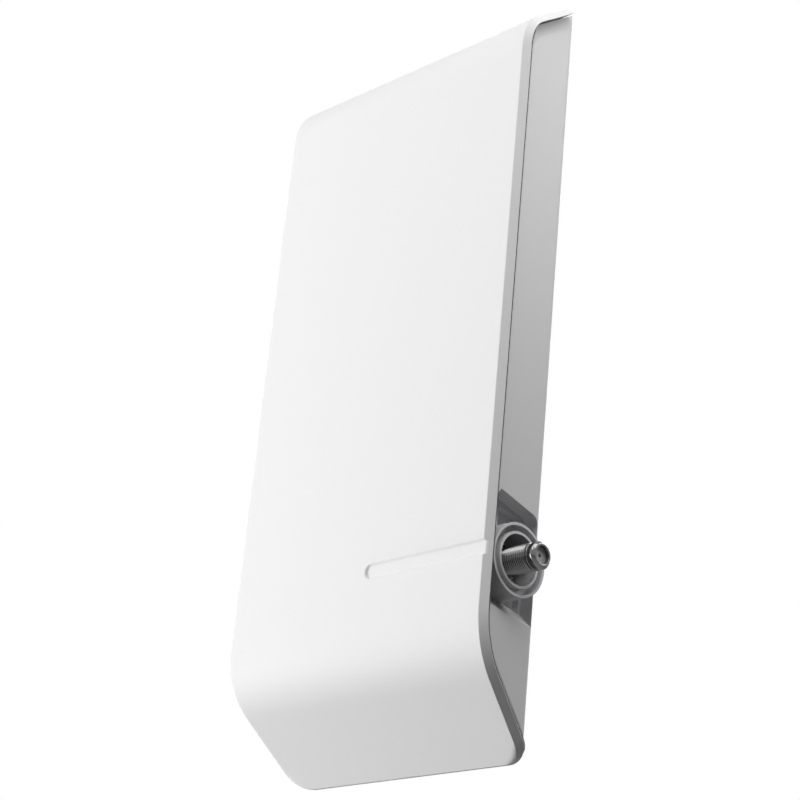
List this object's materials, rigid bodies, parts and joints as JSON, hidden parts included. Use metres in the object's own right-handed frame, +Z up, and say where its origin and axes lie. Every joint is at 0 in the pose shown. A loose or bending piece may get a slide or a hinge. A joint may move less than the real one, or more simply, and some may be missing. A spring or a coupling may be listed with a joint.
{
  "type": "outdoor tv antenna",
  "caption": "Flat-panel outdoor television antenna: a bent white cover on a drafted tray, with a threaded coaxial connector in a side pocket and bracket inserts on the back.",
  "frame": {"origin": "middle of the bracket's bolt pattern, on the flat back face", "axes": "+Z up along the length, +Y out of the back towards the bracket, +X to the side with the connector"},
  "size_m": [0.1328, 0.0354, 0.2866],
  "materials": {
    "cover_white": "gloss",
    "housing_grey": "fine satin",
    "nickel": "bright nickel plate",
    "insulator_white": "waxy",
    "contact_brass": "plated",
    "rubber_black": "matt",
    "screw_steel": "zinc plate",
    "reflector_aluminium": "rolled sheet",
    "board_green": "solder resist",
    "copper": "bright copper",
    "tinplate": "tinned sheet",
    "chip_black": "moulded",
    "ferrite": "sintered",
    "spacer_white": "moulded"
  },
  "bodies": {
    "root": {"front_cover": "cover_white", "rear_housing": "housing_grey", "connector_body": "nickel", "connector_nut": "nickel", "connector_washer": "nickel", "connector_dielectric": "insulator_white", "connector_contact": "contact_brass", "mount_inserts": "contact_brass", "connector_gasket": "rubber_black", "perimeter_seal": "rubber_black", "cover_screws": "screw_steel", "board_screws": "screw_steel", "reflector_plate": "reflector_aluminium", "antenna_board": "board_green", "amplifier_board": "board_green", "upper_dipole": "copper", "lower_dipole": "copper", "phasing_lines": "copper", "feed_strips": "copper", "filter_coils": "copper", "shield_frame": "tinplate", "shield_lid": "tinplate", "amplifier_chip": "chip_black", "balun_core": "ferrite", "board_spacers": "spacer_white"}
  },
  "joints": []
}
